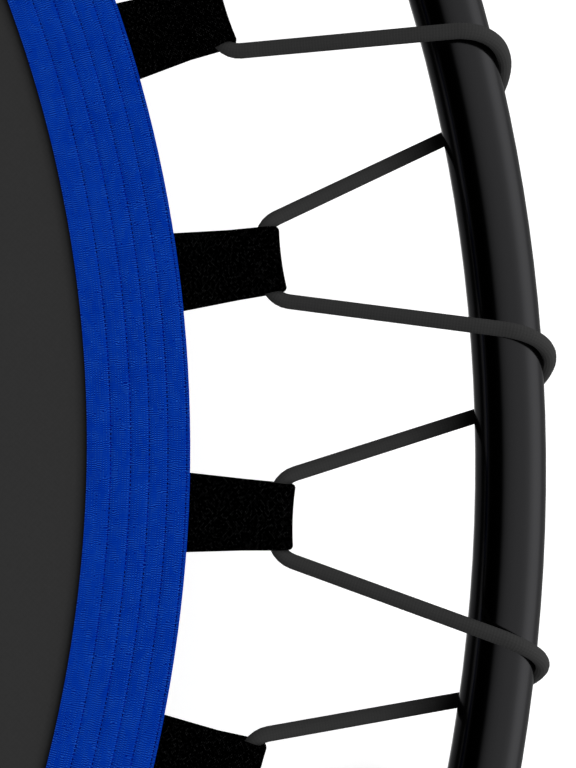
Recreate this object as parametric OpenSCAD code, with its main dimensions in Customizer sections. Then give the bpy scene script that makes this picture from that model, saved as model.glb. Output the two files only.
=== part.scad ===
// Round mini trampoline with a jumping mat hung from one laced elastic cord.
// Millimetres, +Z up. The origin is on the floor under the centre of the ring.

/* [Frame ring] */
// Outside diameter of the frame ring
frame_outer_d = 1250; // [1150:10:1400]
// Outside diameter of the frame tube
tube_d = 25; // [22:1:32]
// Wall of the frame tube
tube_wall = 1.5; // [1.2:0.1:2.5]
// Height of the ring's centre line above the floor
ring_h = 320; // [280:5:380]
// Number of curved tubes that make up the ring
tube_count = 3; // [2:1:3]

/* [Frame joints] */
// Length of the sleeve inside each joint of the ring
sleeve_l = 110; // [80:5:130]
// Wall of the sleeve
sleeve_wall = 1.5; // [1.2:0.1:2.5]
// Distance of each joint bolt from the joint, along the ring
joint_bolt_offset = 17; // [13:1:24]
// Diameter of the joint bolts
joint_bolt_d = 6; // [5:0.5:8]

/* [Legs] */
// Outside diameter of the leg tube
leg_d = 25; // [22:1:30]
// Wall of the leg tube
leg_wall = 1.5; // [1.2:0.1:2.5]
// Outward slope of a leg that stands open, in degrees
leg_splay = 10; // [6:1:14]
// Depth of the leg pivot under the ring's centre line
pivot_drop = 30; // [28:1:40]
// Diameter of the pivot bolt
pivot_bolt_d = 8; // [6:0.5:10]
// Thickness of the bracket's steel sheet
bracket_t = 3; // [2:0.5:5]
// Length of the bracket's stop below the pivot
stop_l = 26; // [20:1:30]
// Length of the knuckle's neck between pivot and tube
neck_l = 16; // [14:1:20]
// Length of the knuckle's spigot inside the tube
spigot_l = 34; // [28:1:50]
// Diameter of the rivet that holds the knuckle in the tube
rivet_d = 4; // [3:0.5:5]

/* [Feet] */
// Diameter of a rubber foot at the floor
foot_d = 40; // [36:1:50]
// Height of a rubber foot along the leg
foot_h = 46; // [36:1:60]
// Thickness of rubber under the end of the tube
foot_sole = 12; // [10:1:16]
// Thickness of the rubber collar round the tube
foot_collar = 3; // [2:0.5:5]

/* [Jumping mat] */
// Gap between the mat's edge band and the frame tube
suspension_gap = 102.5; // [90:0.5:120]
// Width of the edge band
band_w = 37; // [30:1:50]
// Thickness of the edge band
band_t = 1.2; // [0.8:0.1:2]
// Thickness of the mat's cloth
mat_t = 1.5; // [1:0.1:2.5]
// Height of the ring's centre line above the plane of the webbing loops
mat_drop = 3; // [0:0.5:8]

/* [Webbing loops] */
// Number of loops between two legs
loops_per_leg = 6; // [4:1:6]
// Thickness of one layer of webbing
webbing_t = 1.4; // [1:0.1:2]
// Width of a loop at the edge band
loop_w_in = 28.5; // [24:0.5:34]
// Width of a loop at its outer end
loop_w_out = 23.8; // [20:0.2:24]
// Reach of a loop out of the edge band
loop_reach = 37.2; // [30:0.2:44]
// Distance from the band's inner edge to the sewn end of a loop
tail_margin = 5; // [3:0.5:10]

/* [Elastic cord] */
// Diameter of the cord
cord_d = 5; // [4:0.5:6]
// Offset along the ring from a loop to where the cord climbs over the tube
cross_over = 36.2; // [34:0.2:42]
// Offset along the ring from where the cord leaves the tube to the next loop
cross_under = 40.9; // [36:0.1:44]
// Offset of the cord's bend from the middle of a loop
corner_offset = 14.4; // [14.4:0.1:17]
// Radius of the cord's bend beside a loop
cord_bend_r = 4; // [3.5:0.1:4.5]

/* [Hidden] */
// Clearances
seat_gap = 0.05;      // round faces that are pushed or welded together
sleeve_gap = 0.1;     // a sleeve or a spigot in its tube
end_gap = 0.3;        // two tube ends at a joint
pivot_gap = 0.05;     // a shaft or bolt in its hole
side_gap = 0.3;       // each side of a knuckle in its bracket
soft_gap = 0.3;       // cloth beside cloth that moves against it
wrap_gap = 0.5;       // cord round the tube
channel_gap = 0.3;    // cord in a webbing loop

// Ring
tube_r = tube_d / 2;
tube_bore_r = tube_r - tube_wall;
ring_r = frame_outer_d / 2 - tube_r;
tube_span = 360 / tube_count;
leg_count = 6;
loop_count = leg_count * loops_per_leg;
loop_pitch = 360 / loop_count;
first_loop_angle = 5;
first_leg_angle = first_loop_angle + floor(loops_per_leg / 2) * loop_pitch;
first_joint_angle = first_loop_angle + 360 / leg_count;
sleeve_r = tube_bore_r - sleeve_gap;

// Screws, in shares of the thread's diameter, as standard parts have them
joint_bolt_r = joint_bolt_d / 2;
button_head_r = 0.875 * joint_bolt_d;
button_head_h = 0.55 * joint_bolt_d;
hex_socket_r = 0.38 * joint_bolt_d;
hex_socket_depth = 0.33 * joint_bolt_d;
cap_nut_r = 0.96 * joint_bolt_d;
cap_nut_hex_h = 0.8 * joint_bolt_d;
cap_nut_lip = 0.5;
bolt_tip = 1;
pivot_r = pivot_bolt_d / 2;
pivot_hex_r = 0.94 * pivot_bolt_d;
pivot_head_h = 0.66 * pivot_bolt_d;
pivot_nut_h = 0.82 * pivot_bolt_d;
pivot_collar_r = 0.76 * pivot_bolt_d;
pivot_collar_h = 0.22 * pivot_bolt_d;
pivot_bolt_tip = 2;
washer_r = pivot_bolt_d;
washer_t = 1.6;
rivet_head_r = rivet_d;
rivet_head_h = 0.4 * rivet_d;

// Leg and bracket
leg_r = leg_d / 2;
leg_bore_r = leg_r - leg_wall;
spigot_r = leg_bore_r - sleeve_gap;
pivot_h = ring_h - pivot_drop;
leg_l = pivot_h / cos(leg_splay);
cheek_in = leg_r + side_gap;
cheek_out = cheek_in + bracket_t;
cheek_at = cheek_in + bracket_t / 2;
cheek_lip = 2;
cheek_r = cheek_out + cheek_lip;
cheek_top = 4;
stop_top = 8;
rivet_drop = neck_l + spigot_l / 2 + 1;
foot_r = foot_d / 2;
// Heights of the rib round a foot, and how far it is cut back under the rib
rib_low = 13;
rib_high = 21;
rib_cut = 1.5;

// Mat, band and loops
mat_z = ring_h - mat_drop;
band_out_r = ring_r - tube_r - suspension_gap;
band_in_r = band_out_r - band_w;
tail_in_r = band_in_r + tail_margin;
mat_r = tail_in_r - 2 * soft_gap;
cord_r = cord_d / 2;
channel_r = cord_r + channel_gap;
fold_r = channel_r + webbing_t;
loop_end_r = band_out_r + loop_reach;
channel_at = loop_end_r - fold_r;
fold_taper = 14;
loop_corner_r = 1.5;

// Cord
wrap_r = tube_r + cord_r + wrap_gap;
wrap_steps = 11;
bend_steps = 3;
cord_sides = 6;
first_cord_loop = first_loop_angle + (floor(loop_count / 2) - 1) * loop_pitch;
ferrule_l = 16;
ferrule_r = 4;
ferrule_wall = 1;
ferrule_from_tube = 14;

frame_black = "#161718";
zinc = "#b9bcc0";
nylon_black = "#1d1e20";
rubber_black = "#222324";
mat_grey = "#2b2c2e";
band_blue = "#0036a5";
webbing_black = "#0b0b0c";
cord_grey = "#303133";

TUBES = [1:tube_count];
LEGS = [1:leg_count];

// ---------- places ----------

function joint_angle(k) = first_joint_angle + (k - 1) * tube_span;
function leg_angle(k) = first_leg_angle + (k - 1) * 360 / leg_count;
function along_ring(mm) = mm / ring_r * 180 / PI;
function arc_points(centre, r, from, to, steps) = [
    for (i = [0:steps])
        let (a = from + (to - from) * i / steps)
            centre + r * [cos(a), sin(a)]
];

// Child frame on the ring's centre line: X outward, Y along the ring, Z up
module on_ring(angle) {
    rotate([0, 0, angle])
        translate([ring_r, 0, ring_h])
            children();
}

// Child frame at a leg's pivot: -Z runs down the open leg
module on_leg(k) {
    on_ring(leg_angle(k))
        translate([0, 0, -pivot_drop])
            rotate([0, -leg_splay, 0])
                children();
}

// Stretch of the ring with a given section, from one angle over a span
module ring_arc(angle, span) {
    translate([0, 0, ring_h])
        rotate([0, 0, angle])
            rotate_extrude(angle = span, $fn = 240)
                translate([ring_r, 0])
                    children();
}

module annulus(r_out, r_in) {
    difference() {
        circle(r = r_out, $fn = 48);
        circle(r = r_in, $fn = 48);
    }
}

module hex_prism(r, h) {
    cylinder(r = r, h = h, $fn = 6);
}

// Low dome of a given radius and height, its flat side down
module domed_head(r, h) {
    crown_r = (r * r + h * h) / (2 * h);
    rotate_extrude($fn = 48)
        intersection() {
            square([r, h]);
            translate([0, h - crown_r])
                circle(r = crown_r, $fn = 96);
        }
}

// ---------- frame ring ----------

// Radial holes for the two bolts of a joint
module joint_holes(k) {
    for (side = [-1, 1])
        rotate([0, 0, joint_angle(k) + side * along_ring(joint_bolt_offset)])
            translate([ring_r, 0, ring_h])
                rotate([0, 90, 0])
                    cylinder(r = joint_bolt_r + pivot_gap, h = 2 * tube_d, center = true, $fn = 32);
}

// One third of the ring, a bent round tube from joint to joint
module frame_tube(k) {
    gap = along_ring(end_gap / 2);
    color(frame_black)
        difference() {
            ring_arc(joint_angle(k) + gap, tube_span - 2 * gap)
                annulus(tube_r, tube_bore_r);
            joint_holes(k);
            joint_holes(k + 1);
        }
}

// Bent sleeve inside the two tube ends of a joint
module joint_sleeve(k) {
    span = along_ring(sleeve_l);
    color(zinc)
        difference() {
            ring_arc(joint_angle(k) - span / 2, span)
                annulus(sleeve_r, sleeve_r - sleeve_wall);
            joint_holes(k);
        }
}

// Child frame at each joint bolt: Z points outward along the bolt
module on_joint_bolts() {
    for (k = TUBES)
        for (side = [-1, 1])
            on_ring(joint_angle(k) + side * along_ring(joint_bolt_offset))
                rotate([0, 90, 0])
                    children();
}

// Button-head bolts through tube and sleeve, head outside the ring
module joint_bolts() {
    shank_l = tube_d + cap_nut_hex_h + bolt_tip;
    color(zinc)
        on_joint_bolts()
            difference() {
                union() {
                    translate([0, 0, -tube_r - cap_nut_hex_h])
                        cylinder(r = joint_bolt_r, h = shank_l, $fn = 32);
                    translate([0, 0, tube_r + seat_gap])
                        domed_head(button_head_r, button_head_h);
                }
                translate([0, 0, tube_r + button_head_h - hex_socket_depth])
                    hex_prism(hex_socket_r, button_head_h);
            }
}

// Cap nuts on the inside of the ring
module joint_nuts() {
    dome_r = cap_nut_r * cos(30);
    color(zinc)
        on_joint_bolts()
            translate([0, 0, -tube_r - seat_gap])
                rotate([180, 0, 0])
                    difference() {
                        union() {
                            hex_prism(cap_nut_r, cap_nut_hex_h);
                            translate([0, 0, cap_nut_hex_h - cap_nut_lip])
                                domed_head(dome_r, dome_r);
                        }
                        translate([0, 0, -bolt_tip])
                            cylinder(
                                r = joint_bolt_r + pivot_gap,
                                h = cap_nut_hex_h + bolt_tip + cap_nut_lip,
                                $fn = 32
                            );
                    }
}

// ---------- legs ----------

// Point in a cheek's side view, from its place along and across the open leg
function beside_leg(across, down) = [
    across * cos(leg_splay) + down * sin(leg_splay),
    across * sin(leg_splay) - down * cos(leg_splay) - pivot_drop
];

// Side view of a bracket cheek: X outward, Y up, origin on the ring's centre line
module cheek_outline() {
    polygon(concat(
        [[-cheek_r, -cheek_top], [cheek_r, -cheek_top], [cheek_r, -pivot_drop]],
        [beside_leg(cheek_r, stop_l + cheek_lip), beside_leg(cheek_in - cheek_lip, stop_l + cheek_lip)],
        arc_points([0, -pivot_drop], cheek_r, leg_splay - 90, -180, 10)
    ));
}

// Bracket welded under the ring: two cheeks and the stop that the open leg leans on
module leg_bracket(k) {
    color(frame_black)
        difference() {
            union() {
                on_ring(leg_angle(k))
                    for (side = [-1, 1])
                        translate([0, side * cheek_at, 0])
                            rotate([90, 0, 0])
                                linear_extrude(bracket_t, center = true)
                                    cheek_outline();
                on_leg(k)
                    translate([cheek_in, -cheek_at, -stop_l])
                        cube([bracket_t, 2 * cheek_at, stop_l + stop_top]);
            }
            for (side = [-1, 1])
                on_ring(leg_angle(k) + side * along_ring(cheek_at))
                    rotate([90, 0, 0])
                        cylinder(r = tube_r + seat_gap, h = 3 * bracket_t, center = true, $fn = 64);
            on_ring(leg_angle(k))
                translate([0, 0, -pivot_drop])
                    rotate([90, 0, 0])
                        cylinder(r = pivot_r + pivot_gap, h = 4 * leg_d, center = true, $fn = 32);
        }
}

// Child frame at each pivot: Z runs along the pivot bolt
module on_pivots() {
    for (k = LEGS)
        on_ring(leg_angle(k))
            translate([0, 0, -pivot_drop])
                rotate([90, 0, 0])
                    children();
}

// Hexagon bolts that the legs turn on
module pivot_bolts() {
    head_z = cheek_out + washer_t;
    color(zinc)
        on_pivots() {
            translate([0, 0, -head_z - pivot_head_h])
                hex_prism(pivot_hex_r, pivot_head_h);
            translate([0, 0, -head_z - seat_gap])
                cylinder(r = pivot_r, h = 2 * head_z + seat_gap + pivot_nut_h + pivot_bolt_tip, $fn = 32);
        }
}

// A washer under each bolt head and each nut
module pivot_washers() {
    color(zinc)
        on_pivots()
            for (side = [-1, 1])
                translate([0, 0, side * (cheek_out + washer_t / 2)])
                    rotate_extrude($fn = 48)
                        translate([pivot_r + pivot_gap, -washer_t / 2])
                            square([washer_r - pivot_r - pivot_gap, washer_t]);
}

// Lock nuts with their round insert collars
module pivot_nuts() {
    color(zinc)
        on_pivots()
            translate([0, 0, cheek_out + washer_t])
                difference() {
                    union() {
                        hex_prism(pivot_hex_r, pivot_nut_h - pivot_collar_h);
                        cylinder(r = pivot_collar_r, h = pivot_nut_h, $fn = 48);
                    }
                    cylinder(r = pivot_r + pivot_gap, h = 3 * pivot_nut_h, center = true, $fn = 32);
                }
}

// Moulded knuckle: a round eye on the pivot, a neck and a spigot in the tube
module leg_knuckle(k) {
    color(nylon_black)
        on_leg(k)
            difference() {
                union() {
                    rotate([90, 0, 0])
                        cylinder(r = leg_r, h = leg_d, center = true, $fn = 64);
                    translate([0, 0, -neck_l])
                        cylinder(r = leg_r, h = neck_l, $fn = 64);
                    translate([0, 0, -neck_l - spigot_l])
                        cylinder(r = spigot_r, h = spigot_l + 1, $fn = 64);
                }
                rotate([90, 0, 0])
                    cylinder(r = pivot_r + pivot_gap, h = 2 * leg_d, center = true, $fn = 32);
                rivet_hole();
            }
}

module rivet_hole() {
    translate([0, 0, -rivet_drop])
        rotate([0, 90, 0])
            cylinder(r = rivet_d / 2 + pivot_gap, h = 2 * leg_d, center = true, $fn = 32);
}

// Straight leg tube from the knuckle's neck into the foot
module leg_tube(k) {
    tube_l = leg_l - foot_sole - neck_l;
    color(frame_black)
        on_leg(k)
            difference() {
                translate([0, 0, -neck_l - tube_l])
                    linear_extrude(tube_l)
                        annulus(leg_r, leg_bore_r);
                rivet_hole();
            }
}

// Rivet through tube and knuckle, with a low dome at each end
module leg_rivet(k) {
    color(zinc)
        on_leg(k)
            translate([0, 0, -rivet_drop])
                rotate([0, 90, 0]) {
                    cylinder(r = rivet_d / 2, h = leg_d + rivet_head_h, center = true, $fn = 32);
                    for (turn = [0, 180])
                        rotate([turn, 0, 0])
                            translate([0, 0, leg_r + seat_gap])
                                domed_head(rivet_head_r, rivet_head_h);
                }
}

// Half section of a foot: X from the leg's axis, Y up from the floor along the leg
module foot_section() {
    collar_r = leg_r + foot_collar;
    polygon([
        [0, -foot_r / 2],
        [foot_r, -foot_r / 2],
        [foot_r, rib_low],
        [foot_r - rib_cut, rib_low + rib_cut],
        [foot_r - rib_cut, rib_low + 2 * rib_cut],
        [foot_r - rib_cut / 2, rib_low + 3 * rib_cut],
        [foot_r - rib_cut, rib_high],
        [collar_r + rib_cut / 2, foot_h - 3 * foot_collar],
        [collar_r + rib_cut / 2, foot_h - foot_collar],
        [collar_r, foot_h],
        [0, foot_h]
    ]);
}

// Rubber foot pushed over the tube, its sole cut level with the floor
module leg_foot(k) {
    color(rubber_black)
        difference() {
            on_leg(k)
                translate([0, 0, -leg_l])
                    difference() {
                        rotate_extrude($fn = 64)
                            foot_section();
                        translate([0, 0, foot_sole])
                            cylinder(r = leg_r + seat_gap, h = foot_h, $fn = 64);
                    }
            on_ring(leg_angle(k))
                translate([-3 * foot_d, -3 * foot_d, -ring_h - foot_d])
                    cube([9 * foot_d, 6 * foot_d, foot_d]);
        }
}

// ---------- mat, band and loops ----------

// Woven jumping cloth, its rim tucked under the edge band
module jumping_mat() {
    color(mat_grey)
        translate([0, 0, mat_z + webbing_t - soft_gap - mat_t])
            cylinder(r = mat_r, h = mat_t, $fn = 240);
}

// Flat band sewn over the mat's rim and the ends of the loops
module edge_band() {
    color(band_blue)
        translate([0, 0, mat_z + webbing_t])
            rotate_extrude($fn = 240)
                translate([band_in_r, 0])
                    square([band_w, band_t]);
}

// Side view of a loop: two layers side by side that open into a round fold
module loop_section() {
    to_taper = [-fold_taper, webbing_t];
    tangent = atan2(to_taper[1], to_taper[0]) - acos(fold_r / norm(to_taper));
    difference() {
        union() {
            translate([tail_in_r, -webbing_t])
                square([channel_at - tail_in_r, 2 * webbing_t]);
            translate([channel_at, 0]) {
                circle(r = fold_r, $fn = 64);
                polygon([
                    to_taper,
                    fold_r * [cos(tangent), sin(tangent)],
                    fold_r * [cos(tangent), -sin(tangent)],
                    [to_taper[0], -to_taper[1]]
                ]);
            }
        }
        translate([channel_at, 0])
            circle(r = channel_r, $fn = 64);
    }
}

// Plan of a loop: straight under the band, narrowing to a rounded outer end
module loop_plan() {
    corner = loop_w_out / 2 - loop_corner_r;
    polygon(concat(
        [[tail_in_r - 1, -loop_w_in / 2], [band_out_r, -loop_w_in / 2]],
        arc_points([loop_end_r - loop_corner_r, -corner], loop_corner_r, -90, 0, 4),
        arc_points([loop_end_r - loop_corner_r, corner], loop_corner_r, 0, 90, 4),
        [[band_out_r, loop_w_in / 2], [tail_in_r - 1, loop_w_in / 2]]
    ));
}

// Webbing loops from one leg to the next
module webbing_loops(k) {
    color(webbing_black)
        for (i = [0:loops_per_leg - 1])
            rotate([0, 0, leg_angle(k) + i * loop_pitch])
                translate([0, 0, mat_z])
                    intersection() {
                        rotate([90, 0, 0])
                            linear_extrude(2 * loop_w_in, center = true)
                                loop_section();
                        linear_extrude(4 * fold_r, center = true)
                            loop_plan();
                    }
}

// ---------- elastic cord ----------

// Point at an angle, a radius and a height over the ring's centre line
function polar_point(angle, r, z) = [r * cos(angle), r * sin(angle), ring_h + z];
// Point beside a loop: outward, towards the next loop, height over the centre line
function beside_loop(angle, out, next, z) = [
    out * cos(angle) + next * sin(angle),
    out * sin(angle) - next * cos(angle),
    ring_h + z
];
function unit(v) = v / norm(v);

// Turn of the cord round the tube, counted from the top towards the outside
channel_dist = norm([ring_r - channel_at, mat_drop]);
channel_dip = atan2(mat_drop, ring_r - channel_at);
wrap_from = -(90 - acos(wrap_r / channel_dist)) - channel_dip;
wrap_to = 180 + (90 - acos(wrap_r / channel_dist)) - channel_dip;
over_angle = along_ring(cross_over);
under_angle = loop_pitch - along_ring(cross_under);
// Slope of each straight run along the ring, kept where it meets the tube
over_slope = (over_angle - along_ring(corner_offset)) / (ring_r - channel_at);
under_slope = (loop_pitch - along_ring(corner_offset) - under_angle) / (ring_r - channel_at);

// Smooth step along the ring from the climb to the exit, for a share s of the turn
function wrap_angle(s) =
    let (
        arc = wrap_r * (wrap_to - wrap_from) * PI / 180,
        h0 = s * (1 - s) * (1 - s) * arc * over_slope,
        h1 = -s * s * (1 - s) * arc * under_slope
    )
    over_angle + (under_angle - over_angle) * s * s * (3 - 2 * s) + h0 + h1;

function wrap_point(angle, s) =
    let (w = wrap_from + (wrap_to - wrap_from) * s)
    polar_point(angle - wrap_angle(s), ring_r + wrap_r * sin(w), wrap_r * cos(w));

// Rounded corner at a point between two unit directions
function bend(corner, from, to, r) =
    let (
        turn = acos(from * to),
        run = r * tan(turn / 2),
        start = corner - run * from,
        side = unit(to - (to * from) * from)
    )
    [for (i = [0:bend_steps])
        let (a = turn * i / bend_steps)
            start + r * (sin(a) * from + (1 - cos(a)) * side)];

function corner_in(angle) = beside_loop(angle, channel_at, -corner_offset, -mat_drop);
function corner_out(angle) = beside_loop(angle, channel_at, corner_offset, -mat_drop);

// One stretch of the cord: in beside a loop, through it, out and round the tube
function lace(angle) =
    let (
        along = unit(corner_out(angle) - corner_in(angle)),
        arrive = unit(corner_in(angle) - wrap_point(angle + loop_pitch, 1)),
        leave = unit(wrap_point(angle, 0) - corner_out(angle))
    )
    concat(
        bend(corner_in(angle), arrive, along, cord_bend_r),
        bend(corner_out(angle), along, leave, cord_bend_r),
        [for (i = [0:wrap_steps]) wrap_point(angle, i / wrap_steps)]
    );

// The ferrule sits on the run that leads to the first loop
ferrule_dir = unit(corner_in(first_cord_loop) - wrap_point(first_cord_loop + loop_pitch, 1));
ferrule_at = wrap_point(first_cord_loop + loop_pitch, 1) + ferrule_from_tube * ferrule_dir;

cord_route = concat(
    [ferrule_at + ferrule_wall / 2 * ferrule_dir],
    [for (i = [0:loop_count - 1]) each lace(first_cord_loop - i * loop_pitch)],
    [ferrule_at - ferrule_wall / 2 * ferrule_dir]
);

// Direction of the route at each of its points
function route_dirs(p) =
    let (last = len(p) - 1)
    [for (i = [0:last])
        unit(unit(p[min(i + 1, last)] - p[min(i, last - 1)]) + unit(p[max(i, 1)] - p[max(i - 1, 0)]))];

// Side vector carried along the route without twist
function carried(v, dir) = unit(v - (v * dir) * dir);
function side_vectors(dirs) = [
    for (i = 0, v = carried([0, 0, 1], dirs[0]); i < len(dirs);
         i = i + 1, v = i < len(dirs) ? carried(v, dirs[i]) : v)
        v
];

// Tube of triangles along a route, closed at both ends
module swept_tube(p, r, sides) {
    dirs = route_dirs(p);
    ups = side_vectors(dirs);
    last = len(p) - 1;
    rings = [
        for (i = [0:last])
            let (across = cross(dirs[i], ups[i]))
                for (j = [0:sides - 1])
                    let (a = 360 * j / sides)
                        p[i] + r * (cos(a) * ups[i] + sin(a) * across)
    ];
    walls = [
        for (i = [0:last - 1])
            for (j = [0:sides - 1])
                let (
                    a = i * sides + j,
                    b = i * sides + (j + 1) % sides
                )
                    each [[a, b, a + sides], [b, b + sides, a + sides]]
    ];
    caps = [
        for (j = [1:sides - 2])
            each [[0, j + 1, j], [last * sides, last * sides + j, last * sides + j + 1]]
    ];
    polyhedron(points = rings, faces = [for (f = concat(walls, caps)) [f[2], f[1], f[0]]]);
}

// Least gap of the cord to itself over two stretches, on the route's points
two_laces = concat(lace(0), lace(-loop_pitch));
lace_runs = [
    for (i = 0, run = 0; i < len(two_laces);
         i = i + 1, run = run + (i < len(two_laces) ? norm(two_laces[i] - two_laces[i - 1]) : 0))
        run
];
cord_self_gap = min([
    for (i = [0:len(two_laces) - 2])
        for (j = [i + 1:len(two_laces) - 1])
            if (lace_runs[j] - lace_runs[i] > 3 * cord_d)
                norm(two_laces[j] - two_laces[i]) - cord_d
]);
echo(cord_least_gap_to_itself_mm = cord_self_gap);

// One unbroken cord through every loop and round the ring
module elastic_cord() {
    color(cord_grey)
        swept_tube(cord_route, cord_r, cord_sides);
}

// Crimped ferrule that joins the two ends of the cord
module cord_ferrule() {
    tilt = acos(ferrule_dir[2]);
    heading = atan2(ferrule_dir[1], ferrule_dir[0]);
    bore_l = (ferrule_l - ferrule_wall) / 2;
    color(zinc)
        translate(ferrule_at)
            rotate([0, tilt, heading])
                difference() {
                    cylinder(r = ferrule_r, h = ferrule_l, center = true, $fn = 48);
                    for (side = [-1, 1])
                        translate([0, 0, side * (ferrule_wall / 2 + bore_l)])
                            cylinder(r = cord_r + 2 * pivot_gap, h = 2 * bore_l, center = true, $fn = 48);
                }
}

// ---------- nodes ----------

for (k = TUBES) {
    frame_tube(k);
    joint_sleeve(k);
}
joint_bolts();
joint_nuts();
for (k = LEGS) {
    leg_bracket(k);
    leg_knuckle(k);
    leg_tube(k);
    leg_rivet(k);
    leg_foot(k);
    webbing_loops(k);
}
pivot_bolts();
pivot_washers();
pivot_nuts();
jumping_mat();
edge_band();
elastic_cord();
cord_ferrule();
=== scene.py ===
"""Round mini trampoline: the finish, cloth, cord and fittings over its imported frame. Metres, +Z up."""
import math

import bmesh
import bpy
from mathutils import Matrix, Vector


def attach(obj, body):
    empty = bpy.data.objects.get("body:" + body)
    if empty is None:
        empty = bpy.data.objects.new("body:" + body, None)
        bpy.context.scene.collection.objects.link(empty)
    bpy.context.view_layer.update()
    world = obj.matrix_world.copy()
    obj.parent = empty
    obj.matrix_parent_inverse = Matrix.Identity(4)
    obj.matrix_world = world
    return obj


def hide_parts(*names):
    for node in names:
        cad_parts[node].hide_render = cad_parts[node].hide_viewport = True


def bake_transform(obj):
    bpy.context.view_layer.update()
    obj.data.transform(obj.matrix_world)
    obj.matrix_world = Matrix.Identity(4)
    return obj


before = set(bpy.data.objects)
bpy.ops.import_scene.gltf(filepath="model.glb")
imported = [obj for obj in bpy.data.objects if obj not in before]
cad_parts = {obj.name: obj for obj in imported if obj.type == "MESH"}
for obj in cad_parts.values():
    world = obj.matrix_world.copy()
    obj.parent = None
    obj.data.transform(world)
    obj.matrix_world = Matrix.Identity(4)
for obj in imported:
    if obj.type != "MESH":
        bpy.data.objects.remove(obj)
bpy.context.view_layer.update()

MM = 0.001

# Angles are in degrees, and those round the ring start at +X

# Frame ring
RING_R = 612.5 * MM
RING_H = 320 * MM
TUBE_R = 12.5 * MM
TUBE_WALL = 1.5 * MM
TUBE_COUNT = 3
FIRST_JOINT = 65
END_GAP = 0.3 * MM

# Mat, band and loops
MAT_R = 464.9 * MM
MAT_CENTRE_R = 60 * MM
MAT_TOP = 318.1 * MM
MAT_T = 1.5 * MM
BAND_IN_R = 460.8 * MM
BAND_OUT_R = 497.5 * MM
BAND_UNDER = 318.4 * MM
BAND_T = 1.2 * MM
RIB_PITCH = 0.77 * MM
LOOP_PLANE = 317 * MM
LEG_COUNT = 6
FIRST_LEG = 35
LOOPS_PER_LEG = 6
LOOP_PITCH = 10
WEBBING_T = 1.4 * MM
LOOP_W_IN = 28.2 * MM
LOOP_W_OUT = 23.0 * MM
TAIL_IN_R = 465.5 * MM
CHANNEL_AT = 531 * MM
CHANNEL_R = 2.9 * MM
FOLD_TAPER = 14 * MM
FOLD_DRAWN_IN = 0.5 * MM
LOOP_CORNER_R = 1.2 * MM
LOOP_END_R = CHANNEL_AT + CHANNEL_R + WEBBING_T

# Elastic cord
CORD_R = 2.72 * MM
CORD_LIFT = 0.04 * MM
CORD_LEAVES_AT = RING_R - 3.5 * MM
WRAP_R = 14.6 * MM
WRAP_LAG = 1.5 * MM
# Along the ring from a loop's middle: on to where the cord goes up over the tube, and back to where it
# came out from under the tube
CROSS_OVER = 37.2 * MM
CROSS_UNDER = 41.9 * MM
CORD_IN_LOOP = CHANNEL_AT - 2.4 * MM
# From a loop's middle to the cord's corners beside it
CORNER_IN = 13.1 * MM
CORNER_OUT = 13.9 * MM
CORD_BEND_R = 9.5 * MM
MAT_DROP = RING_H - LOOP_PLANE
FIRST_CORD_LOOP = 175
LOOP_COUNT = LEG_COUNT * LOOPS_PER_LEG

# Ferrule
FERRULE_R = 4 * MM
FERRULE_WALL = 1 * MM
FERRULE_L = 16 * MM
FERRULE_EDGE_R = 0.3 * MM
FERRULE_FROM_TUBE = 14 * MM
CRIMP_COUNT = 3
CRIMP_PITCH = 4 * MM
CRIMP_DEPTH = 0.35 * MM
CRIMP_W = 2.4 * MM
CRIMP_FLOOR_W = 1 * MM

# Legs and their fittings
LEG_R = 12.5 * MM
LEG_BORE_R = 11 * MM
SPIGOT_R = 10.9 * MM
SPLAY = 10
PIVOT_DROP = 30 * MM
LEG_L = (RING_H - PIVOT_DROP) / math.cos(math.radians(SPLAY))
NECK_L = 16 * MM
NECK_GROOVE = 0.4 * MM
SPIGOT_L = 34 * MM
EYE_EDGE_R = 0.8 * MM
NECK_EDGE_R = 0.15 * MM
STEEL_EDGE_R = 0.35 * MM
CHEEK_IN = 12.8 * MM
CHEEK_MARGIN = 2 * MM
CHEEK_TOP = 4 * MM
BRACKET_T = 3 * MM
CHEEK_OUT = CHEEK_IN + BRACKET_T
CHEEK_R = CHEEK_OUT + CHEEK_MARGIN
SEAT_HALF = math.degrees(math.asin(CHEEK_TOP / TUBE_R))
STOP_L = 26 * MM
STOP_TOP = 8 * MM
FOOT_R = 20 * MM
FOOT_H = 46 * MM
FOOT_SOLE = 12 * MM
FOOT_RIB_AT = 13 * MM
FOOT_GROOVE = 1.5 * MM
FOOT_SHOULDER = 21 * MM
FOOT_COLLAR_R = 15.5 * MM
FOOT_BEAD_DROP = 3 * MM
FOOT_BEAD_L = 6 * MM
FOOT_FIT = 0.05 * MM
FOOT_EDGE_R = 0.9 * MM
SOLE_EDGE_R = 0.8 * MM
RIVET_DROP = 34 * MM
RIVET_HEAD_R = 4 * MM
RIVET_HEAD_H = 1.6 * MM
RIVET_SUNK = 0.7 * MM

# Weld beads: each stops short of a cheek's corners, ripples by a share of its radius, and loses a
# share of it towards each end
BEAD_R = 1.7 * MM
BEAD_SHORT = 2
BEAD_ROUND = 330
RIPPLE = 0.09
RIPPLE_PITCH = 8
TAPER = 0.35
TAPER_SHARE = 0.03

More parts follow.
